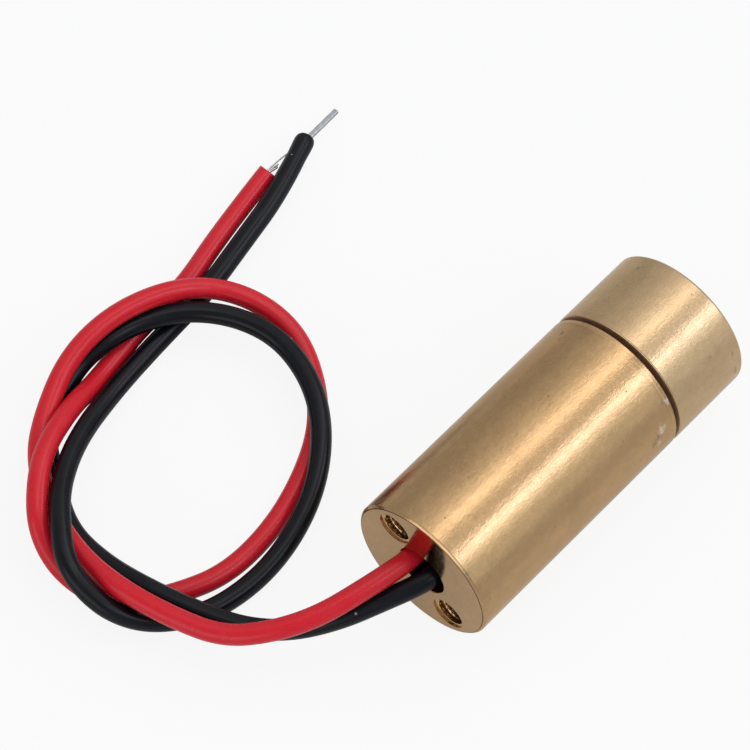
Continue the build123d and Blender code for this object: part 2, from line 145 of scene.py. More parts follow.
HEAD_MARKS = (
    ((0.00971, 0.00244, 0.00828), (0.00016, 0.00014, 0.0001), (0.2, 0.15, 0.1), 0.65),
    ((0.00984, 0.00213, 0.00846), (0.0001, 0.0001, 0.0001), (0.22, 0.16, 0.1), 0.5),
    ((0.01008, -0.00104, 0.00888), (0.00007, 0.00007, 0.00007), (0.16, 0.1, 0.06), 0.7),
    ((0.01003, -0.00416, 0.00622), (0.00012, 0.0002, 0.0003), (0.22, 0.15, 0.08), 0.5),
    ((0.01005, -0.00450, 0.00469), (0.00014, 0.0002, 0.00035), (0.15, 0.1, 0.06), 0.6),
)
# A painted glint on the black lead: a pale bluish spot on its top near the end
BLACK_PAINTED_GLINT = (
    ((0.00586, 0.02478, 0.00145), (0.00007, 0.00007, 0.0001), (0.5, 0.52, 0.56), 0.9),
)
# Tool rings are deepest on the barrel by the seam: where they start and are full, back from the seam, and
# how many times deeper they are there
# By the seam the rings are also painted into the tone as lighter and darker stripes: painted highlight and
# shade
SEAM_RINGS_AND_PAINTED_STRIPES_START = 0.0006
SEAM_RINGS_AND_PAINTED_STRIPES_FULL = 0.0003
SEAM_RINGS_GAIN = 7.0
# Dull brass on either side of the seam
SEAM_SURFACE = {"roughness": 0.6, "film": 0.5, "pits": 0.3, "rings": 0.0, "bump": 0.3}
# Depth of each material's fine relief
BRASS_RELIEF = 0.00001
INSULATION_RELIEF = 0.00002
SMALL_RELIEF = 0.000005
GLASS_RELIEF = 0.000002
# Brass keeps its colour towards the edge of the view
EDGE_TINT = (0.92, 0.84, 0.74, 1.0)
PIT_COLOUR = (0.10, 0.065, 0.04, 1.0)
DUST_COLOUR = (0.5, 0.48, 0.45, 1.0)
# Finishes of the inner CAD nodes: name, setting that holds the colour, worn colour, scale of the
# clouding, roughness, metallic share, nodes
CORE_FINISHES = (
    ("diode gold plate", "gold", (0.6, 0.4, 0.15), 1500.0, 0.22, 1.0,
     ("diode_stem", "diode_heat_post", "diode_pins")),
    ("can steel", "steel", (0.42, 0.42, 0.43), 1500.0, 0.25, 1.0, ("diode_cap",)),
    ("seal glass", "seal", (0.06, 0.1, 0.08), 2500.0, 0.15, 0.0, ("pin_seals",)),
    ("chip", "chip", (0.1, 0.09, 0.12), 4000.0, 0.2, 0.4, ("laser_chip", "monitor_photodiode")),
    ("solder mask", "mask", (0.005, 0.05, 0.018), 1200.0, 0.35, 0.0, ("driver_board",)),
    ("moulded epoxy", "epoxy", (0.03, 0.03, 0.03), 4000.0, 0.55, 0.0,
     ("driver_transistors", "board_resistors")),
    ("fired ceramic", "ceramic", (0.25, 0.15, 0.08), 3000.0, 0.5, 0.0, ("board_capacitor",)),
    ("tinned metal", "tin", (0.42, 0.43, 0.44), 2500.0, 0.3, 1.0,
     ("transistor_legs", "solder_joints", "red_lead_core", "black_lead_core")),
)
# The camera, fitted to the photo: focal length in millimetres, place, and the way it looks
CAMERA_LENS = 205.29
CAMERA_PLACE = (-0.093811, -0.0717535, 0.205063)
CAMERA_VIEW = (0.38552, 0.34851, -0.85435)
# Whites of the surroundings and of the softbox, whose second half is cooler than its first
PLAIN_WHITE = (1.0, 1.0, 1.0)
WARM_WHITE = (1.0, 0.98, 0.97)
COOL_WHITE = (0.86, 0.95, 1.0)
CREST_WHITE = (0.714, 0.735, 1.0)
# Panels of the softbox, an arch across the object: name, start and end in degrees up from +Y, brightness,
# colour
SOFTBOX_PANELS = (
    ("first rise", 34, 98, 0.15, WARM_WHITE), ("second rise", 54, 98, 0.25, WARM_WHITE),
    ("third rise", 70, 98, 0.45, WARM_WHITE), ("bright edge", 84, 98, 1.15, WARM_WHITE),
    ("gap", 98, 123, 0.55, WARM_WHITE), ("crest", 126.5, 135.5, 3.25, CREST_WHITE),
    ("first fall", 123, 149, 0.75, COOL_WHITE), ("second fall", 123, 176, 0.46, COOL_WHITE),
)
# The arch leans forward: shares of a panel's heading along +X and across
SOFTBOX_LEAN = (0.386, 0.923)
# A low panel behind the wire end lights its chamfer and the tapped holes
FILL_HEADING = (-0.95, 0.0, 0.3)
FILL_HEIGHT = 0.22
FILL_STRENGTH = 1.4
# Share of plain white in the floor as it is seen
FLOOR_GLOW = 0.89
# Painted light on the floor beside the object, a white glow that only the brass's reflections see and no lamp
# gives:
# the Y of its middle, how far it is full and where it ends on either side, and its brightness
PAINTED_POOL_MIDDLE = -0.002
PAINTED_POOL_FULL = 0.010
PAINTED_POOL_END = 0.018
PAINTED_POOL_SHARE = 0.45
# The red lead is cut aslant: how far its end leans back, for each way across it
RED_SLANT = (0.0, 0.15, -0.47)


def number(description, default, **settings):
    """A property for a number from 0 up."""
    return bpy.props.FloatProperty(description=description, default=default, min=0.0, **settings)


def length(description, default):
    """A property for a size in metres."""
    return number(description, default, precision=5, unit="LENGTH")


def colour(of_what, default):
    """A property for a linear colour."""
    return bpy.props.FloatVectorProperty(
        description=f"Colour of {of_what}", default=default, min=0.0, max=1.0, subtype="COLOR"
    )


class BodySizes(bpy.types.PropertyGroup):
    radius: length("Outside radius of the barrel and the head", BODY_RADIUS)
    barrel_length: length("From the rear face to the seam", BARREL_LENGTH)
    overall_length: length("From the rear face to the front", OVERALL_LENGTH)
    focus_gap: length("Open seam left by the head's setting", 0.0003)
    rim_chamfer: length("Chamfer at the two outer rims", 0.00015)
    seam_chamfer: length("Chamfer on either side of the seam", 0.00006)
    edge_round: length("Rounding left on turned edges", 0.00004)
    rear_wall: length("Thickness of the wall behind the board", 0.0033)
    core_radius: length("Radius of the bore that holds the diode", 0.002805)
    wire_hole: length("Radius of the hole that the leads leave by", 0.00156)
    wire_chamfer: length("Chamfer at the wire hole's mouth", 0.00005)
    thread_radius: length("Radius of the bore that the head screws into", 0.00375)
    thread_start: length("Station of the thread's floor", 0.01185)
    lead_in: length("Chamfer at the thread's mouth and the spigot's end", 0.00015)


class HeadSizes(bpy.types.PropertyGroup):
    spigot: length("Radius of the threaded spigot in the barrel", 0.0037)
    relief: length("Radius of the undercut behind the thread", 0.00345)
    relief_width: length("Length of the undercut", 0.0004)
    pocket: length("Radius of the bore round the lens and its spring", 0.00303)
    aperture: length("Radius of the opening that the light leaves by", 0.0021)
    flare: length("Width and depth of the aperture's cone", 0.0009)
    front_wall: length("From the lens seat to the front", 0.0026)


class TappedHoleSizes(bpy.types.PropertyGroup):
    radius: length("Outer radius of the tapped thread", 0.001)
    pitch: length("Advance of the thread in a turn", 0.0004)
    crest: length("Height of the thread", 0.00021)
    depth: length("Depth of the thread", 0.0024)
    point: length("Length of the cone past the thread", 0.0006)
    mouth: length("Radius of the plain mouth before the thread", 0.00103)
    mouth_depth: length("Length of the plain mouth", 0.00011)
    circle_radius: length("From the axis to a hole's middle", 0.00303)
    roll: number("Turn of the first hole about the axis", math.radians(50.0), subtype="ANGLE")


class LensSizes(bpy.types.PropertyGroup):
    back_sag: length("Height of the lens's rear curve", 0.0002)
    back_radius: length("Radius of the rear curve's rim", 0.0018)
    front_sag: length("Height of the lens's front curve", 0.00075)
    front_radius: length("Radius of the front curve's rim", 0.002)
    edge: length("Chamfer round the lens", 0.00005)
    spring_wire: length("Diameter of the spring's wire", 0.00035)
    spring_turns: number("Turns of the spring", 4.5)


class LeadSizes(bpy.types.PropertyGroup):
    diameter: length("Outside diameter of the insulation", 0.0012)
    strand: length("Diameter of one strand of the conductor", 0.0001)
    bundle_width: length("Width of the black lead's tinned bundle", 0.00033)
    bundle_height: length("Height of the black lead's tinned bundle", 0.00024)


class Finishes(bpy.types.PropertyGroup):
    barrel_brass: colour("the barrel", (0.505, 0.326, 0.165))
    head_brass: colour("the lens head", (0.545, 0.383, 0.215))
    face_brass: colour("the polished rear face", (0.498, 0.328, 0.186))
    # Painted shade: a darker brass for the line round the rear face and for the drill points deep in the
    # tapped holes
    painted_shade_brass: colour("the line round the rear face and of drill points", (0.16, 0.09, 0.05))
    seam_brass: colour("the dull brass in the seam", (0.52, 0.36, 0.24))
    red: colour("the red lead", (0.57, 0.011, 0.022))
    black: colour("the black lead", (0.0036, 0.0040, 0.0062))
    thread_brass: colour("the tapped threads", (0.60, 0.41, 0.22))
    tin: colour("tinned wire and solder", (0.62, 0.64, 0.66))
    gold: colour("the diode's plating", (0.78, 0.55, 0.22))
    steel: colour("the can and the spring", (0.55, 0.55, 0.56))
    mask: colour("the driver board", (0.01, 0.085, 0.028))
    epoxy: colour("moulded parts on the board", (0.011, 0.011, 0.012))
    ceramic: colour("the chip capacitor", (0.33, 0.2, 0.1))
    seal: colour("the beads round the pins", (0.1, 0.16, 0.13))
    chip: colour("the semiconductor dies", (0.05, 0.05, 0.065))
    glass: colour("the lens and the window", (0.95, 0.98, 1.0))


class StageSettings(bpy.types.PropertyGroup):
    floor: colour("the floor", (0.62, 0.62, 0.62))
    ambient: number("Brightness of the surroundings", 0.52)
    softbox: number("Brightness of the arched softbox", 1.0)
    softbox_length: length("Length of the softbox's panels", 0.5)
    softbox_distance: length("From the object to the panels", 0.4)


class ModuleSettings(bpy.types.PropertyGroup):
    body: bpy.props.PointerProperty(type=BodySizes)
    head: bpy.props.PointerProperty(type=HeadSizes)
    tapped: bpy.props.PointerProperty(type=TappedHoleSizes)
    lens: bpy.props.PointerProperty(type=LensSizes)
    lead: bpy.props.PointerProperty(type=LeadSizes)
    finish: bpy.props.PointerProperty(type=Finishes)
    stage: bpy.props.PointerProperty(type=StageSettings)


# Meshes


def add_object(name, data):
    """A new object in the scene."""
    made = bpy.data.objects.new(name, data)
    bpy.context.scene.collection.objects.link(made)
    return made


def mesh_of(form, name):
    """A mesh made from a bmesh, which is freed."""
    mesh = bpy.data.meshes.new(name)
    form.to_mesh(mesh)
    form.free()
    return mesh


def turned_place(point):
    """The station of a point along the module's axis, and its radius from that axis."""
    return point.x - REAR_X, math.hypot(point.y, point.z - AXIS_Z)


def even(radius):
    """The radius of a plain round tube, in the form that swept asks for."""
    return lambda angle, run, left: radius


def softened(outline, rounding, steps=4, most=0.4):
    """A closed outline with each corner rounded off, over no more than a share of either edge."""
    corners = [Vector(corner) for corner in outline]
    points = []
    for before, corner, after in zip(corners[-1:] + corners, corners, corners[1:] + corners[:1]):
        back = before - corner
        on = after - corner
        start = corner + back.normalized() * min(rounding, back.length * most)
        end = corner + on.normalized() * min(rounding, on.length * most)
        for step in range(steps + 1):
            share = step / steps
            points.append(start.lerp(corner, share).lerp(corner.lerp(end, share), share))
    return points


def turned(name, outline, segments=256):
    """Mesh of a closed (station, radius) outline turned about the module's axis."""
    form = bmesh.new()
    ring = [form.verts.new((REAR_X + station, 0, AXIS_Z + radius)) for station, radius in outline]
    edges = [form.edges.new(pair) for pair in zip(ring, ring[1:] + ring[:1])]
    bmesh.ops.spin(
        form, geom=ring + edges, axis=(1, 0, 0), cent=(REAR_X, 0, AXIS_Z),
        angle=math.tau, steps=segments, use_merge=True,
    )
    bmesh.ops.remove_doubles(form, verts=form.verts, dist=1e-7)
    bmesh.ops.recalc_face_normals(form, faces=form.faces)
    return mesh_of(form, name)


def swept(name, points, radius_at, sides, ends=((), ()), slant=(0, 0, 0), sideways=None):
    """Mesh of a tube along points. radius_at gives the radius by angle and distances from the ends.

    Each end has rings of (radius share, distance back from the end), from the tube outwards, that
    take the place of the tube's own rings there. The far end's rings lean by slant.
    """
    runs = [0.0]
    for first, second in zip(points, points[1:]):
        runs.append(runs[-1] + (second - first).length)
    total = runs[-1]
    slant = Vector(slant)
    lean = slant.length * radius_at(0.0, total, 0.0)
    clear = [max((back for share, back in rings), default=-1.0) for rings in ends]
    first_heading = (points[1] - points[0]).normalized()
    last_heading = (points[-1] - points[-2]).normalized()
    stations = []
    for share, back in reversed(ends[0]):
        stations.append((points[0] + first_heading * back, first_heading, back, share, 0.0))
    for index, (point, run) in enumerate(zip(points, runs)):
        if run > clear[0] and total - run > clear[1] + lean:
            before = points[max(index - 1, 0)]
            after = points[min(index + 1, len(points) - 1)]
            stations.append((point, (after - before).normalized(), run, 1.0, 0.0))
    for share, back in ends[1]:
        stations.append((points[-1] - last_heading * back, last_heading, total - back, share, 1.0))
    form = bmesh.new()
    along = form.loops.layers.uv.new("along")
    tangent = stations[0][1]
    across = Vector(sideways) if sideways else tangent.orthogonal()
    across = (across - tangent * across.dot(tangent)).normalized()
    rings = []
    for point, heading, run, share, leaning in stations:
        across = tangent.rotation_difference(heading) @ across
        tangent = heading
        up = tangent.cross(across)
        ring = []
        for side in range(sides):
            angle = math.tau * side / sides
            reach = share * radius_at(angle, run, total - run)
            offset = (across * math.cos(angle) + up * math.sin(angle)) * reach
            ring.append(form.verts.new(point + offset + heading * slant.dot(offset) * leaning))
        rings.append((ring, run))
    for (ring, run), (following, reached) in zip(rings, rings[1:]):
        for side in range(sides):
            on = (side + 1) % sides
            face = form.faces.new((ring[side], ring[on], following[on], following[side]))
            turns = (side / sides, (side + 1) / sides, (side + 1) / sides, side / sides)
            for loop, turn, distance in zip(face.loops, turns, (run, run, reached, reached)):
                loop[along].uv = (turn, distance)
    form.faces.new(list(reversed(rings[0][0])))
    form.faces.new(rings[-1][0])
    bmesh.ops.recalc_face_normals(form, faces=form.faces)
    return mesh_of(form, name)


def line_points(route, resolution=10):
    """Points of the smooth NURBS line that has a route's points as its control points."""
    curve = bpy.data.curves.new("route", "CURVE")
    curve.dimensions = "3D"
    curve.resolution_u = resolution
    spline = curve.splines.new("NURBS")
    spline.points.add(len(route) - 1)
    for point, place in zip(spline.points, route):
        point.co = (*place, 1.0)
    spline.order_u = 3
    spline.use_endpoint_u = True
    holder = bpy.data.objects.new("route", curve)
    mesh = bpy.data.meshes.new_from_object(holder)
    points = [vertex.co.copy() for vertex in mesh.vertices]
    bpy.data.objects.remove(holder)
    bpy.data.curves.remove(curve)
    bpy.data.meshes.remove(mesh)
    return points


def tapped_cutter(sizes, angle, sides=72, steps=16, outside=0.0001):
    """Mesh that cuts one tapped hole: a short plain mouth, a right-handed thread and a drill point.

    The thread has steps rows in a turn. The cutter starts a little outside the face.
    """
    crest_radius = sizes.radius - sizes.crest
    depths = [-outside, 0.0]
    while depths[-1] < sizes.depth:
        depths.append(depths[-1] + sizes.pitch / steps)
    center = Vector((
        REAR_X,
        sizes.circle_radius * math.cos(angle),
        AXIS_Z + sizes.circle_radius * math.sin(angle),
    ))
    places = []
    for depth in depths:
        for side in range(sides):
            turn = side / sides
            phase = (depth / sizes.pitch - turn) % 1.0
            # A V that is cut off at its crest and its root, so that both have flats
            groove = min(max(abs(2 * phase - 1) * 1.35 - 0.2, 0.0), 1.0)
            reach = sizes.mouth if depth < sizes.mouth_depth else crest_radius + sizes.crest * groove
            swing = math.tau * turn
            places.append(center + Vector((depth, reach * math.cos(swing), reach * math.sin(swing))))
    faces = [list(range(sides))]
    for row in range(len(depths) - 1):
        for side in range(sides):
            on = (side + 1) % sides
            low = row * sides
            high = low + sides
            faces.append((low + side, low + on, high + on, high + side))
    places.append(center + Vector((sizes.depth + sizes.point, 0, 0)))
    last = (len(depths) - 1) * sides
    for side in range(sides):
        faces.append((last + side, last + (side + 1) % sides, len(places) - 1))
    mesh = bpy.data.meshes.new("tapped_cutter")
    mesh.from_pydata(places, [], faces)
    form = bmesh.new()
    form.from_mesh(mesh)
    bmesh.ops.recalc_face_normals(form, faces=form.faces)
    form.to_mesh(mesh)
    form.free()
    return mesh


def cut_away(mesh, cutters):
    """A mesh with each cutter taken out of it."""
    body = add_object("blank", mesh)
    tools = []
    for cutter in cutters:
        tool = add_object("cutter", cutter)
        modifier = body.modifiers.new("hole", "BOOLEAN")
        modifier.operation = "DIFFERENCE"
        modifier.solver = "EXACT"
        modifier.object = tool
        tools.append(tool)
    graph = bpy.context.evaluated_depsgraph_get()
    result = bpy.data.meshes.new_from_object(body.evaluated_get(graph))
    for spare in [body] + tools:
        bpy.data.objects.remove(spare)
    return result


def place(name, mesh, materials, slot, nodes, sharp_degrees=30):
    """Put a piece in the scene on the root body in place of its CAD nodes."""
    mesh.name = name
    mesh.materials.clear()
    for material in materials:
        mesh.materials.append(material)
    mesh.polygons.foreach_set("use_smooth", [True] * len(mesh.polygons))
    mesh.set_sharp_from_angle(angle=math.radians(sharp_degrees))
    piece = add_object(name, mesh)
    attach(piece, "root")
    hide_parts(*nodes)
    return piece


# Node groups and materials


def connect(tree, target, sockets):
    """Set a node's sockets by name or number, each to a value or a link from another node."""
    for key, value in sockets.items():
        if isinstance(value, bpy.types.NodeSocket):
            tree.links.new(value, target.inputs[key])
        else:
            target.inputs[key].default_value = value


def node(tree, kind, sockets=None, **settings):
    """Add a node with its settings and sockets."""
    made = tree.nodes.new(kind)
    for key, value in settings.items():
        setattr(made, key, value)
    connect(tree, made, sockets or {})
    return made


def math_node(tree, operation, first, second=0.0, clamp=False):
    """The result of a Math node."""
    made = node(tree, "ShaderNodeMath", {0: first, 1: second}, operation=operation, use_clamp=clamp)
    return made.outputs[0]


def chained(tree, operation, values):
    """The result of Math nodes that take in one value after another."""
    result = values[0]
    for value in values[1:]:
        result = math_node(tree, operation, result, value)
    return result


def summed(tree, *values):
    """The sum of several values."""
    return chained(tree, "ADD", values)


def product(tree, *values):
    """The product of several values."""
    return chained(tree, "MULTIPLY", values)


def vector_node(tree, operation, first, second=(0.0, 0.0, 0.0)):
    """A Vector Math node's outputs."""
    return node(tree, "ShaderNodeVectorMath", {0: first, 1: second}, operation=operation).outputs


def mixed(tree, factor, first, second, blend="MIX"):
    """The result of a colour Mix node."""
    sockets = {0: factor, 6: first, 7: second}
    return node(tree, "ShaderNodeMix", sockets, data_type="RGBA", blend_type=blend).outputs[2]


def ranged(tree, value, low, high, new_low=0.0, new_high=1.0):
    """A value mapped from one range to another and held inside it."""
    sockets = {
        "Value": value, "From Min": low, "From Max": high, "To Min": new_low, "To Max": new_high,
    }
    return node(tree, "ShaderNodeMapRange", sockets).outputs["Result"]


def object_place(tree):
    """The place on the object."""
    return node(tree, "ShaderNodeTexCoord").outputs["Object"]


def split(tree, vector):
    """The X, Y and Z of a vector."""
    return node(tree, "ShaderNodeSeparateXYZ", {0: vector}).outputs


def noise(tree, vector, scale, detail, roughness):
    """The value of a noise texture."""
    sockets = {"Vector": vector, "Scale": scale, "Detail": detail, "Roughness": roughness}
    return node(tree, "ShaderNodeTexNoise", sockets).outputs[0]


def spots(tree, where, scale, full, edge, rarity):
    """A mask of round spots in a few of a texture's cells, full in the middle and gone at the edge."""
    cells = node(tree, "ShaderNodeTexVoronoi", {"Vector": where, "Scale": scale}).outputs
    chance = node(tree, "ShaderNodeSeparateColor", {0: cells["Color"]}).outputs[0]
    near = ranged(tree, cells["Distance"], full, edge, 1.0, 0.0)
    return product(tree, near, math_node(tree, "GREATER_THAN", chance, rarity))


def socket_kind(value):
    """The kind of socket for a value: a number, a vector, or a colour with its alpha."""
    if isinstance(value, float):
        return "NodeSocketFloat"
    return "NodeSocketVector" if len(value) == 3 else "NodeSocketColor"


# Outputs that the groups for whole surfaces share
SURFACE_OUTPUTS = {
    "Colour": "NodeSocketColor", "Roughness": "NodeSocketFloat", "Height": "NodeSocketFloat",
}


def open_group(name, inputs, outputs=SURFACE_OUTPUTS):
    """A new shader node group with its sockets, and the values given to it."""
    group = bpy.data.node_groups.new(name, "ShaderNodeTree")
    for label, default in inputs.items():
        socket = group.interface.new_socket(name=label, in_out="INPUT", socket_type=socket_kind(default))
        socket.default_value = default
    for label, kind in outputs.items():
        group.interface.new_socket(name=label, in_out="OUTPUT", socket_type=kind)
    return group, node(group, "NodeGroupInput").outputs


def turned_brass_group():
    """Tone, roughness and height of turned brass: satin grain, faint tool rings, film and pits, and stripes
    of painted highlight and shade by the seam.
    """
    group, given = open_group("Turned brass", {
        "Colour": (0.5, 0.33, 0.17, 1.0), "Film colour": (0.36, 0.25, 0.15, 1.0),
        "Roughness": 0.2, "Film": 0.35, "Pits": 0.5, "Rings": 0.1,
    })
    where = object_place(group)
    along, across, height = split(group, where)
    up = math_node(group, "SUBTRACT", height, AXIS_Z)
    square = summed(group, product(group, across, across), product(group, up, up))
    radius = math_node(group, "SQRT", square)
    normal = node(group, "ShaderNodeNewGeometry").outputs["Normal"]
    on_face = ranged(group, math_node(group, "ABSOLUTE", split(group, normal)[0]), 0.6, 0.8)
    tool_place = node(group, "ShaderNodeMix", {0: on_face, 2: along, 3: radius}, data_type="FLOAT").outputs[0]
    rings_at = node(group, "ShaderNodeCombineXYZ", {
        "X": product(group, tool_place, 7000.0),
        "Y": product(group, across, 220.0),
        "Z": product(group, height, 220.0),
    }).outputs[0]
    drawn_at = vector_node(group, "MULTIPLY", where, (1600.0, 5200.0, 5200.0))[0]
    rings = noise(group, rings_at, scale=1.0, detail=2.0, roughness=0.6)
    drawn = noise(group, drawn_at, scale=1.0, detail=2.0, roughness=0.65)
    film = noise(group, where, scale=420.0, detail=5.0, roughness=0.62)
    waves = noise(group, where, scale=1500.0, detail=2.0, roughness=0.5)
    mottle = noise(group, where, scale=2200.0, detail=3.0, roughness=0.65)
    satin = noise(group, where, scale=7500.0, detail=3.0, roughness=0.75)
    pits = spots(group, where, scale=1500.0, full=0.04, edge=0.10, rarity=0.80)
    pits = product(group, pits, given["Pits"])
    seam = REAR_X + BARREL_LENGTH
    painted_stripes_and_rings_by_seam = product(group, ranged(group, along, seam - SEAM_RINGS_AND_PAINTED_STRIPES_START, seam - SEAM_RINGS_AND_PAINTED_STRIPES_FULL),
                      math_node(group, "LESS_THAN", along, seam))
    patch = product(group, ranged(group, film, 0.42, 0.68), given["Film"])
    toned = mixed(group, patch, given["Colour"], given["Film colour"])
    # Painted highlight and shade: by the seam the tool rings make lighter and darker stripes in the tone
    grain = summed(
        group,
        ranged(group, satin, 0.3, 0.7, 0.45, 0.55),
        ranged(group, mottle, 0.3, 0.7, 0.44, 0.56),
        product(group, painted_stripes_and_rings_by_seam, ranged(group, rings, 0.35, 0.65, -0.3, 0.25)),
    )
    grained = mixed(group, 1.0, toned, grain, "MULTIPLY")
    pitted = mixed(group, pits, grained, PIT_COLOUR)
    rough = summed(
        group,
        given["Roughness"],
        ranged(group, satin, 0.3, 0.7, -0.05, 0.10),
        ranged(group, film, 0.35, 0.7, -0.03, 0.05),
    )
    ring_depth = product(group, given["Rings"], summed(group, product(group, painted_stripes_and_rings_by_seam, SEAM_RINGS_GAIN), 1.0))
    relief = summed(
        group,
        product(group, satin, 1.6),
        product(group, rings, ring_depth),
        product(group, waves, 0.6),
        product(group, drawn, 1.3),
    )
    relief = math_node(group, "SUBTRACT", relief, pits)
    node(group, "NodeGroupOutput", {"Colour": pitted, "Roughness": rough, "Height": relief})
    return group


def mark_group():
    """One ragged mark of its own size and colour on a surface: nicks, stains and scuffs, and a painted glint
    on the black lead.
    """
    group, given = open_group("Surface mark", {
        "Colour": (0.5, 0.33, 0.17, 1.0), "Mark colour": (0.1, 0.06, 0.04, 1.0),
        "Place": (0.0, 0.0, 0.0), "Size": (0.0001, 0.0001, 0.0001), "Strength": 0.8,
    }, {"Colour": "NodeSocketColor"})
    where = object_place(group)
    apart = vector_node(group, "SUBTRACT", where, given["Place"])[0]
    scaled = vector_node(group, "DIVIDE", apart, given["Size"])[0]
    spread = vector_node(group, "LENGTH", scaled)["Value"]
    ragged = noise(group, where, scale=6000.0, detail=3.0, roughness=0.7)
    distance = summed(group, spread, ranged(group, ragged, 0.3, 0.7, -0.7, 0.9))
    mask = product(group, ranged(group, distance, 0.4, 1.1, 1.0, 0.0), given["Strength"])
    marked = mixed(group, mask, given["Colour"], given["Mark colour"])
    node(group, "NodeGroupOutput", {"Colour": marked})
    return group


def insulation_group():
    """Tone, roughness and height of extruded insulation: die lines along it, dust and faint dents."""
    group, given = open_group("Extruded insulation", {
        "Colour": (0.5, 0.02, 0.03, 1.0), "Bloom": (0.6, 0.1, 0.1, 1.0), "Roughness": 0.4, "Dust": 0.3,
    })
    unrolled = split(group, node(group, "ShaderNodeUVMap", uv_map="along").outputs[0])
    die_at = node(group, "ShaderNodeCombineXYZ", {
        "X": product(group, unrolled["X"], 40.0), "Y": product(group, unrolled["Y"], 120.0),
    }).outputs[0]
    where = object_place(group)
    lines = noise(group, die_at, scale=1.0, detail=2.0, roughness=0.6)
    clouds = noise(group, where, scale=700.0, detail=4.0, roughness=0.6)
    dust = spots(group, where, scale=1100.0, full=0.05, edge=0.11, rarity=0.93)
    dust = product(group, dust, given["Dust"])
    bloom = product(group, ranged(group, clouds, 0.45, 0.75), 0.35)
    toned = mixed(group, bloom, given["Colour"], given["Bloom"])
    dusted = mixed(group, dust, toned, DUST_COLOUR)
    rough = summed(group, given["Roughness"], ranged(group, clouds, 0.3, 0.7, -0.05, 0.08))
    relief = summed(group, product(group, lines, 0.5), clouds)
    node(group, "NodeGroupOutput", {"Colour": dusted, "Roughness": rough, "Height": relief})
    return group


def plated_group():
    """Tone, roughness and height of plated, tinned or moulded small parts: fine clouding and scuffs."""
    group, given = open_group("Small part clouding", {
        "Colour": (0.6, 0.6, 0.6, 1.0), "Worn": (0.4, 0.4, 0.4, 1.0), "Scale": 2500.0, "Roughness": 0.3,
    })
    clouds = noise(group, object_place(group), given["Scale"], detail=4.0, roughness=0.6)
    toned = mixed(group, ranged(group, clouds, 0.4, 0.7), given["Colour"], given["Worn"])
    rough = summed(group, given["Roughness"], ranged(group, clouds, 0.3, 0.7, -0.06, 0.1))
    node(group, "NodeGroupOutput", {"Colour": toned, "Roughness": rough, "Height": clouds})
    return group


def shared_group(maker, name):
    """A node group, made the first time that it is asked for."""
    return bpy.data.node_groups.get(name) or maker()


def opaque(rgb):
    """A colour with full alpha."""
    return (*rgb, 1.0)


def shaded(rgb, share):
    """A colour darkened to a share of itself, with full alpha."""
    return opaque([value * share for value in rgb])


def surfaced(name, group, values, bump, bump_distance, shader_values, marks=()):
    """A material whose colour, roughness and bump come from a node group, with marks laid over it."""
    material = bpy.data.materials.new(name)
    material.use_nodes = True
    tree = material.node_tree
    surface = node(tree, "ShaderNodeGroup", values, node_tree=group).outputs
    relief = node(tree, "ShaderNodeBump", {
        "Strength": bump, "Distance": bump_distance, "Height": surface["Height"],
    })
    shade = surface["Colour"]
    for where, size, rgb, strength in marks:
        sockets = {
            "Colour": shade, "Mark colour": opaque(rgb), "Place": where, "Size": size, "Strength": strength,
        }
        mark = node(tree, "ShaderNodeGroup", sockets, node_tree=shared_group(mark_group, "Surface mark"))
        shade = mark.outputs["Colour"]
    connect(tree, tree.nodes["Principled BSDF"], {
        "Base Color": shade, "Roughness": surface["Roughness"], "Normal": relief.outputs["Normal"],
        **shader_values,
    })
    return material


def brass(name, rgb, roughness, film, pits, rings, bump, marks=(), metallic=1.0):
    """Turned or faced brass. A metallic share under 1 dulls it, as a film does."""
    group = shared_group(turned_brass_group, "Turned brass")
    values = {
        "Colour": opaque(rgb), "Film colour": shaded(rgb, 0.76), "Roughness": roughness,
        "Film": film, "Pits": pits, "Rings": rings,
    }
    shader_values = {"Metallic": metallic, "Specular Tint": EDGE_TINT}
    return surfaced(name, group, values, bump, BRASS_RELIEF, shader_values, marks)


def insulation(name, rgb, bloom, roughness, dust, gloss, marks=()):
    """Extruded insulation of a lead."""
    group = shared_group(insulation_group, "Extruded insulation")
    values = {"Colour": opaque(rgb), "Bloom": opaque(bloom), "Roughness": roughness, "Dust": dust}
    return surfaced(name, group, values, 0.2, INSULATION_RELIEF, {"Specular IOR Level": gloss}, marks)


def small_part(name, rgb, worn, scale, roughness, metallic):
    """Metal or moulding of a small part."""
    group = shared_group(plated_group, "Small part clouding")
    values = {"Colour": opaque(rgb), "Worn": opaque(worn), "Scale": scale, "Roughness": roughness}
    return surfaced(name, group, values, 0.2, SMALL_RELIEF, {"Metallic": metallic})


def clear_glass(name, rgb):
    """Polished optical glass with a faint film."""
    group = shared_group(plated_group, "Small part clouding")
    values = {"Colour": opaque(rgb), "Worn": shaded(rgb, 0.97), "Scale": 900.0, "Roughness": 0.07}
    return surfaced(name, group, values, 0.02, GLASS_RELIEF, {"Transmission Weight": 1.0})


# Operators, one for each piece or group of like pieces


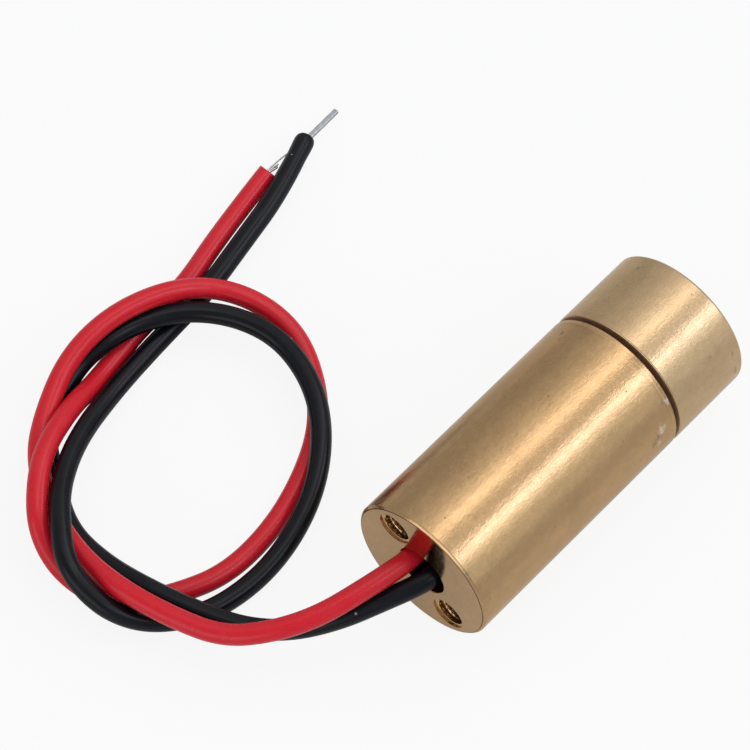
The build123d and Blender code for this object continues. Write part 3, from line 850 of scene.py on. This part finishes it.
class LASER_OT_stage(bpy.types.Operator):
    """Lay the floor and set the lights and the camera"""
    bl_idname = "laser_module.stage"
    bl_label = "Stage"

    def execute(self, context):
        settings = context.scene.laser_module.stage
        context.scene.view_settings.view_transform = "Standard"
        self.lay_floor(settings)
        self.light(settings)
        camera = bpy.data.cameras.new("camera")
        camera.sensor_width = 36.0
        camera.lens = CAMERA_LENS
        camera.clip_start = 0.01
        camera.clip_end = 20.0
        holder = add_object("camera", camera)
        holder.location = CAMERA_PLACE
        holder.rotation_euler = Vector(CAMERA_VIEW).to_track_quat("-Z", "Y").to_euler()
        context.scene.camera = holder
        return {"FINISHED"}

    def lay_floor(self, settings):
        material = bpy.data.materials.new("pale floor")
        material.use_nodes = True
        tree = material.node_tree
        tree.nodes.clear()
        diffuse = node(tree, "ShaderNodeBsdfDiffuse", {"Color": opaque(settings.floor)})
        glow = node(tree, "ShaderNodeEmission", {"Color": opaque(PLAIN_WHITE), "Strength": 1.0})
        path = node(tree, "ShaderNodeLightPath").outputs
        # Painted light: glossy rays see the floor glow white in a band beside the object, a painted
        # reflection in the brass
        aside = math_node(tree, "SUBTRACT", split(tree, object_place(tree))["Y"], PAINTED_POOL_MIDDLE)
        aside = math_node(tree, "ABSOLUTE", aside)
        painted_pool = ranged(tree, aside, PAINTED_POOL_FULL, PAINTED_POOL_END, PAINTED_POOL_SHARE, 0.0)
        painted_reflection = product(tree, path["Is Glossy Ray"], painted_pool)
        seen = summed(tree, path["Is Camera Ray"], path["Is Transmission Ray"])
        seen = math_node(tree, "ADD", seen, painted_reflection, clamp=True)
        share = product(tree, seen, FLOOR_GLOW)
        blend = node(tree, "ShaderNodeMixShader", {0: share, 1: diffuse.outputs[0], 2: glow.outputs[0]})
        node(tree, "ShaderNodeOutputMaterial", {0: blend.outputs[0]})
        form = bmesh.new()
        bmesh.ops.create_grid(form, x_segments=8, y_segments=8, size=2.0)
        mesh = mesh_of(form, "floor")
        mesh.materials.append(material)
        floor = add_object("floor", mesh)

    def light(self, settings):
        world = bpy.data.worlds.new("studio")
        world.use_nodes = True
        connect(world.node_tree, world.node_tree.nodes["Background"], {
            "Color": opaque(PLAIN_WHITE), "Strength": settings.ambient,
        })
        bpy.context.scene.world = world
        lean, spread = SOFTBOX_LEAN
        for name, low, high, strength, tint in SOFTBOX_PANELS:
            middle = math.radians((low + high) / 2)
            heading = Vector((lean, spread * math.cos(middle), spread * math.sin(middle)))
            width = 2 * settings.softbox_distance * spread * math.tan(math.radians((high - low) / 2))
            lamp = self.hang_panel(name, settings, heading, (1, 0, 0), width, strength)
            lamp.color = tint
        self.hang_panel("rear fill", settings, Vector(FILL_HEADING), (0, 1, 0), FILL_HEIGHT, FILL_STRENGTH)

    def hang_panel(self, name, settings, heading, along, width, strength):
        """A panel that faces the object, its long side along a given way."""
        lamp = bpy.data.lights.new(name, "AREA")
        lamp.shape = "RECTANGLE"
        lamp.size = settings.softbox_length
        lamp.size_y = width
        lamp.energy = settings.softbox * strength * math.pi * lamp.size * lamp.size_y
        aim = -heading.normalized()
        along = Vector(along)
        long_side = (along - aim * aim.dot(along)).normalized()
        short_side = aim.cross(long_side)
        turn = Matrix((long_side, -short_side, -aim)).transposed()
        holder = add_object(name, lamp)
        holder.matrix_world = Matrix.Translation(-aim * settings.softbox_distance) @ turn.to_4x4()
        return lamp


class LASER_OT_barrel(bpy.types.Operator):
    """Turn the barrel, open its wire hole and tap its two screw holes"""
    bl_idname = "laser_module.barrel"
    bl_label = "Barrel"

    def execute(self, context):
        settings = context.scene.laser_module
        body = settings.body
        tapped = settings.tapped
        finish = settings.finish
        end = body.barrel_length
        rim = body.radius - body.rim_chamfer
        outline = [
            (0.0, body.wire_hole + body.wire_chamfer),
            (0.0, rim),
            (body.rim_chamfer, body.radius),
            (end - body.seam_chamfer, body.radius),
            (end, body.radius - body.seam_chamfer),
            (end, body.thread_radius + body.lead_in),
            (end - body.lead_in, body.thread_radius),
            (body.thread_start, body.thread_radius),
            (body.thread_start, body.core_radius),
            (body.rear_wall, body.core_radius),
            (body.rear_wall, body.wire_hole),
            (body.wire_chamfer, body.wire_hole),
        ]
        blank = turned("barrel_blank", softened(outline, body.edge_round))
        cutters = [tapped_cutter(tapped, tapped.roll + half) for half in (0.0, math.pi)]
        mesh = cut_away(blank, cutters)
        materials = [
            brass("turned barrel brass", finish.barrel_brass, roughness=0.15, film=0.35, pits=0.8,
                  rings=0.3, bump=0.6, marks=BARREL_MARKS),
            brass("polished rear brass", finish.face_brass, roughness=0.10, film=0.25, pits=0.3,
                  rings=0.02, bump=0.06),
            # Painted shade on the line round the rear face and in the drill points
            brass("brass with painted shade", finish.painted_shade_brass, roughness=0.35, film=0.3, pits=0.3,
                  rings=0.0, bump=0.3),
            brass("dull seam brass", finish.seam_brass, **SEAM_SURFACE),
            brass("tapped thread brass", finish.thread_brass, roughness=0.13, film=0.2, pits=0.0,
                  rings=0.0, bump=0.05),
        ]
        side, face, shade_painted, dull, thread = range(len(materials))
        place("turned_barrel", mesh, materials, "barrel_brass", ["barrel"], sharp_degrees=20)
        across = Vector((0, math.cos(tapped.roll), math.sin(tapped.roll))) * tapped.circle_radius
        for polygon in mesh.polygons:
            station, radius = turned_place(polygon.center)
            out = Vector((0, polygon.center.y, polygon.center.z - AXIS_Z))
            from_hole = min((out - across).length, (out + across).length)
            polygon.material_index = side
            # Painted shade: faces past the thread in the tapped holes, and the rounded edge between the rear
            # face and its chamfer, take the darker brass
            if tapped.mouth_depth < station < body.rear_wall and from_hole < tapped.mouth:
                polygon.material_index = thread if station < tapped.depth else shade_painted
            elif station < body.edge_round and abs(radius - rim) < body.edge_round:
                polygon.material_index = shade_painted if polygon.normal.x > -0.99 else face
            elif polygon.normal.x < -0.95 and station < body.edge_round:
                polygon.material_index = face
            elif station > end - body.seam_chamfer and polygon.normal.x > 0.9:
                polygon.material_index = dull
        return {"FINISHED"}


class LASER_OT_head(bpy.types.Operator):
    """Turn the lens head with its spigot and flared aperture"""
    bl_idname = "laser_module.head"
    bl_label = "Lens head"

    def execute(self, context):
        settings = context.scene.laser_module
        body = settings.body
        head = settings.head
        seam = body.barrel_length + body.focus_gap
        front = body.overall_length
        lens_seat = front - head.front_wall
        undercut = seam - head.relief_width
        seam_edge = body.radius - body.seam_chamfer
        outline = [
            (SPIGOT_STATION, head.pocket),
            (SPIGOT_STATION, head.spigot - body.lead_in),
            (SPIGOT_STATION + body.lead_in, head.spigot),
            (undercut, head.spigot),
            (undercut, head.relief),
            (seam, head.relief),
            (seam, seam_edge),
            (seam + body.seam_chamfer, body.radius),
            (front - body.rim_chamfer, body.radius),
            (front, body.radius - body.rim_chamfer),
            (front, head.aperture + head.flare),
            (front - head.flare, head.aperture),
            (lens_seat, head.aperture),
            (lens_seat, head.pocket),
        ]
        mesh = turned("lens_head", softened(outline, body.edge_round))
        metal = brass("turned head brass", settings.finish.head_brass, roughness=0.17, film=0.4, pits=0.7,
                      rings=0.2, bump=0.6, marks=HEAD_MARKS, metallic=0.86)
        dull = brass("dull undercut brass", settings.finish.seam_brass, **SEAM_SURFACE)
        place("turned_head", mesh, [metal, dull], "head_brass", ["lens_head"])
        for polygon in mesh.polygons:
            station, radius = turned_place(polygon.center)
            in_seam = undercut < station < seam + body.seam_chamfer / 2
            polygon.material_index = 1 if in_seam and radius < seam_edge else 0
        return {"FINISHED"}


class LASER_OT_lens(bpy.types.Operator):
    """Grind the lens and wind its spring"""
    bl_idname = "laser_module.lens"
    bl_label = "Lens and spring"

    def execute(self, context):
        settings = context.scene.laser_module
        glass = clear_glass("lens glass", settings.finish.glass)
        steel = small_part("drawn spring steel", settings.finish.steel, (0.35, 0.35, 0.37), scale=1800.0,
                           roughness=0.25, metallic=1.0)
        place("ground_lens", self.lens(settings.lens), [glass], "lens_glass", ["collimating_lens"])
        place("wound_spring", self.spring(settings.lens), [steel], "spring_steel", ["lens_spring"])
        return {"FINISHED"}

    def lens(self, sizes, back_steps=12, front_steps=24):
        rim = float(LENS_HIGH[1])
        back = float(LENS_LOW[0]) - REAR_X + sizes.back_sag
        front = float(LENS_HIGH[0]) - REAR_X - sizes.front_sag
        outline = []
        for step in range(back_steps + 1):
            share = step / back_steps
            outline.append((back - sizes.back_sag * (1 - share**2), sizes.back_radius * share))
        outline += [(back, rim - sizes.edge), (back + sizes.edge, rim)]
        outline += [(front - sizes.edge, rim), (front, rim - sizes.edge)]
        for step in range(front_steps + 1):
            share = 1 - step / front_steps
            outline.append((front + sizes.front_sag * (1 - share**2), sizes.front_radius * share))
        return turned("lens", outline, segments=128)

    def spring(self, sizes, turn_steps=48):
        wire = sizes.spring_wire / 2
        middle = float(SPRING_HIGH[1]) - wire
        start = float(SPRING_LOW[0]) + wire
        run = float(SPRING_HIGH[0]) - wire - start
        steps = int(sizes.spring_turns * turn_steps)
        points = []
        for step in range(steps + 1):
            share = step / steps
            swing = math.tau * sizes.spring_turns * share
            points.append(Vector((
                start + run * share, middle * math.cos(swing), AXIS_Z + middle * math.sin(swing),
            )))
        return swept("spring", points, even(wire), sides=12)


class LASER_OT_core(bpy.types.Operator):
    """Finish the diode and the driver board inside the barrel"""
    bl_idname = "laser_module.core"
    bl_label = "Diode and board"

    def execute(self, context):
        finish = context.scene.laser_module.finish
        self.dress(clear_glass("window glass", finish.glass), ["diode_window"])
        for name, setting, worn, scale, roughness, metallic, nodes in CORE_FINISHES:
            rgb = getattr(finish, setting)
            self.dress(small_part(name, rgb, worn, scale, roughness, metallic), nodes)
        return {"FINISHED"}

    def dress(self, material, nodes):
        """Give a material to CAD nodes."""
        for name in nodes:
            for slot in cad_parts[name].material_slots:
                slot.material = material


class LASER_OT_leads(bpy.types.Operator):
    """Lay the two leads and dress their stripped ends"""
    bl_idname = "laser_module.leads"
    bl_label = "Leads"

    def execute(self, context):
        settings = context.scene.laser_module
        sizes = settings.lead
        finish = settings.finish
        tin = small_part("tinned wire", (0.46, 0.48, 0.51), (0.36, 0.37, 0.40), scale=3500.0, roughness=0.5,
                         metallic=1.0)
        # Painted light: the strands' tin is much lighter than the bundle's, standing in for light where shade
        # falls on them
        painted_light = small_part("loose strands", (0.74, 0.73, 0.71), (0.6, 0.59, 0.57), scale=3500.0,
                           roughness=0.55, metallic=1.0)
        red = insulation("red insulation", finish.red, (0.58, 0.028, 0.045), roughness=0.24, dust=0.25,
                         gloss=0.26)
        black = insulation("black insulation", finish.black, (0.009, 0.0115, 0.0175), roughness=0.24,
                           dust=0.8, gloss=0.19, marks=BLACK_PAINTED_GLINT)
        strands = self.strands(sizes.strand / 2, painted_light)
        bundle = self.bundle(sizes.bundle_width / 2, sizes.bundle_height / 2, tin)
        radius = sizes.diameter / 2

        def necked(angle, run, left):
            depth, middle, width = BLACK_NECK
            return radius * (1 - depth * math.exp(-((left - middle) / width) ** 2))

        self.lead("red", RED_ROUTE, even(radius), (INNER_END, RED_END), RED_SLANT, red, strands)
        self.lead("black", BLACK_ROUTE, necked, (INNER_END, BLACK_END), (0, 0, 0), black, bundle)
        return {"FINISHED"}

    def lead(self, name, route, radius_at, ends, slant, material, tip):
        points = line_points(route)
        mesh = swept(f"{name}_wire", points, radius_at, sides=32, ends=ends, slant=slant)
        wire = place(f"{name}_wire", mesh, [material], f"{name}_insulation", [f"{name}_lead"])
        run = sum((second - first).length for first, second in zip(points, points[1:]))
        2 * radius_at(0.0, 0.0, run)

    def strands(self, radius, material):
        """The red lead's bare strands, one of them long."""
        form = bmesh.new()
        for route in RED_STRAND_ROUTES:
            mesh = swept("strand", line_points(route), even(radius), sides=10)
            form.from_mesh(mesh)
            bpy.data.meshes.remove(mesh)
        return place("red_strands", mesh_of(form, "strands"), [material], "tinned_wire", ["red_lead_tip"])

    def bundle(self, wide, high, material):
        """The black lead's tinned bundle, pressed flat, with its twist just showing through the tin."""
        strands, depth, lay = BUNDLE_TWIST

        def radius_at(angle, run, left):
            flat = (abs(math.cos(angle)) / wide) ** 4 + (abs(math.sin(angle)) / high) ** 4
            return flat ** -0.25 * (1 + depth * math.cos(strands * (angle - run / lay)))

        points = line_points(BLACK_TIP_ROUTE, resolution=16)
        mesh = swept("bundle", points, radius_at, sides=56, ends=((), BUNDLE_END), sideways=(0, 1, 0))
        return place("black_bundle", mesh, [material], "tinned_wire", ["black_lead_tip"], sharp_degrees=50)


def own_properties(group):
    """The names of a property group's own properties."""
    return [key for key in group.bl_rna.properties.keys() if key not in {"rna_type", "name"}]


class LASER_PT_module(bpy.types.Panel):
    """Pieces and sizes of the module"""
    bl_label = "Laser Diode Module"
    bl_idname = "LASER_PT_module"
    bl_space_type = "VIEW_3D"
    bl_region_type = "UI"
    bl_category = "Laser Module"

    def draw(self, context):
        settings = context.scene.laser_module
        for operator in OPERATORS:
            self.layout.operator(operator.bl_idname)
        for name in own_properties(settings):
            group = getattr(settings, name)
            box = self.layout.box()
            box.label(text=name.capitalize())
            for key in own_properties(group):
                box.prop(group, key, text=key.replace("_", " ").capitalize())


OPERATORS = (
    LASER_OT_stage, LASER_OT_leads, LASER_OT_barrel, LASER_OT_head, LASER_OT_lens, LASER_OT_core,
)
CLASSES = (
    BodySizes, HeadSizes, TappedHoleSizes, LensSizes, LeadSizes, Finishes, StageSettings, ModuleSettings,
    *OPERATORS, LASER_PT_module,
)


def register():
    for item in CLASSES:
        bpy.utils.register_class(item)
    bpy.types.Scene.laser_module = bpy.props.PointerProperty(type=ModuleSettings)


def unregister():
    del bpy.types.Scene.laser_module
    for item in reversed(CLASSES):
        bpy.utils.unregister_class(item)


def main():
    register()
    bpy.ops.laser_module.stage()
    bpy.ops.laser_module.leads()
    bpy.ops.laser_module.barrel()
    bpy.ops.laser_module.head()
    bpy.ops.laser_module.lens()
    bpy.ops.laser_module.core()


if __name__ == "__main__":
    main()
